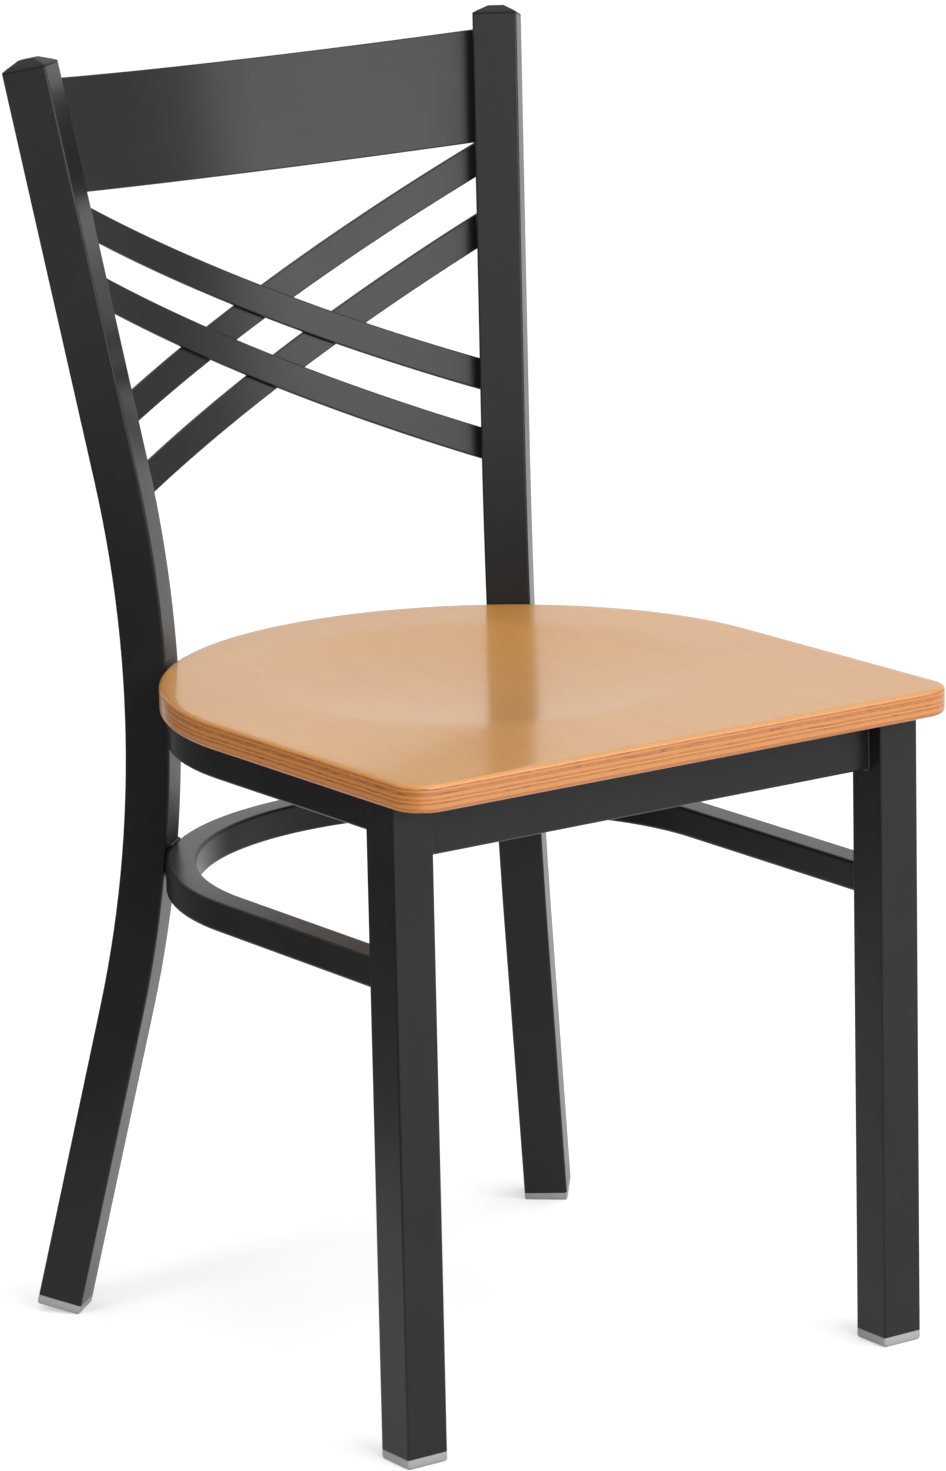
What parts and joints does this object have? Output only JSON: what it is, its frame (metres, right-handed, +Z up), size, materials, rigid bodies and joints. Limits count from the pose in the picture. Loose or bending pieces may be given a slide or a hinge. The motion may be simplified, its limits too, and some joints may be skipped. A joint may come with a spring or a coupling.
{
  "type": "dining chair",
  "caption": "Cross back dining chair: black powder coated square tube frame, bowed crest rail over crossed flat slats, and a clear lacquered plywood seat.",
  "frame": {"origin": "middle of the chair's footprint, on the floor", "axes": "+Z up, the sitter faces -Y, +X to the chair's right as seen from its front"},
  "size_m": [0.4496, 0.518, 0.8584],
  "materials": {
    "frame_coating": "satin black powder coat",
    "seat_wood": "clear gloss lacquer over plywood",
    "cap_plastic": "moulded matte black",
    "glide_plastic": "moulded light grey",
    "screw_steel": "zinc plated"
  },
  "bodies": {
    "root": {"seat_panel": "seat_wood", "seat_ring": "frame_coating", "front_rail": "frame_coating", "front_leg_left": "frame_coating", "front_leg_right": "frame_coating", "rear_post_left": "frame_coating", "rear_post_right": "frame_coating", "stretcher_ring": "frame_coating", "crest_rail": "frame_coating", "back_slat_front_upper": "frame_coating", "back_slat_front_lower": "frame_coating", "back_slat_rear_upper": "frame_coating", "back_slat_rear_lower": "frame_coating", "seat_tab_front_left": "frame_coating", "seat_tab_front_right": "frame_coating", "seat_tab_rear_left": "frame_coating", "seat_tab_rear_right": "frame_coating", "post_cap_left": "cap_plastic", "post_cap_right": "cap_plastic", "front_glide_left": "glide_plastic", "front_glide_right": "glide_plastic", "rear_glide_left": "glide_plastic", "rear_glide_right": "glide_plastic", "seat_screws": "screw_steel"}
  },
  "joints": []
}
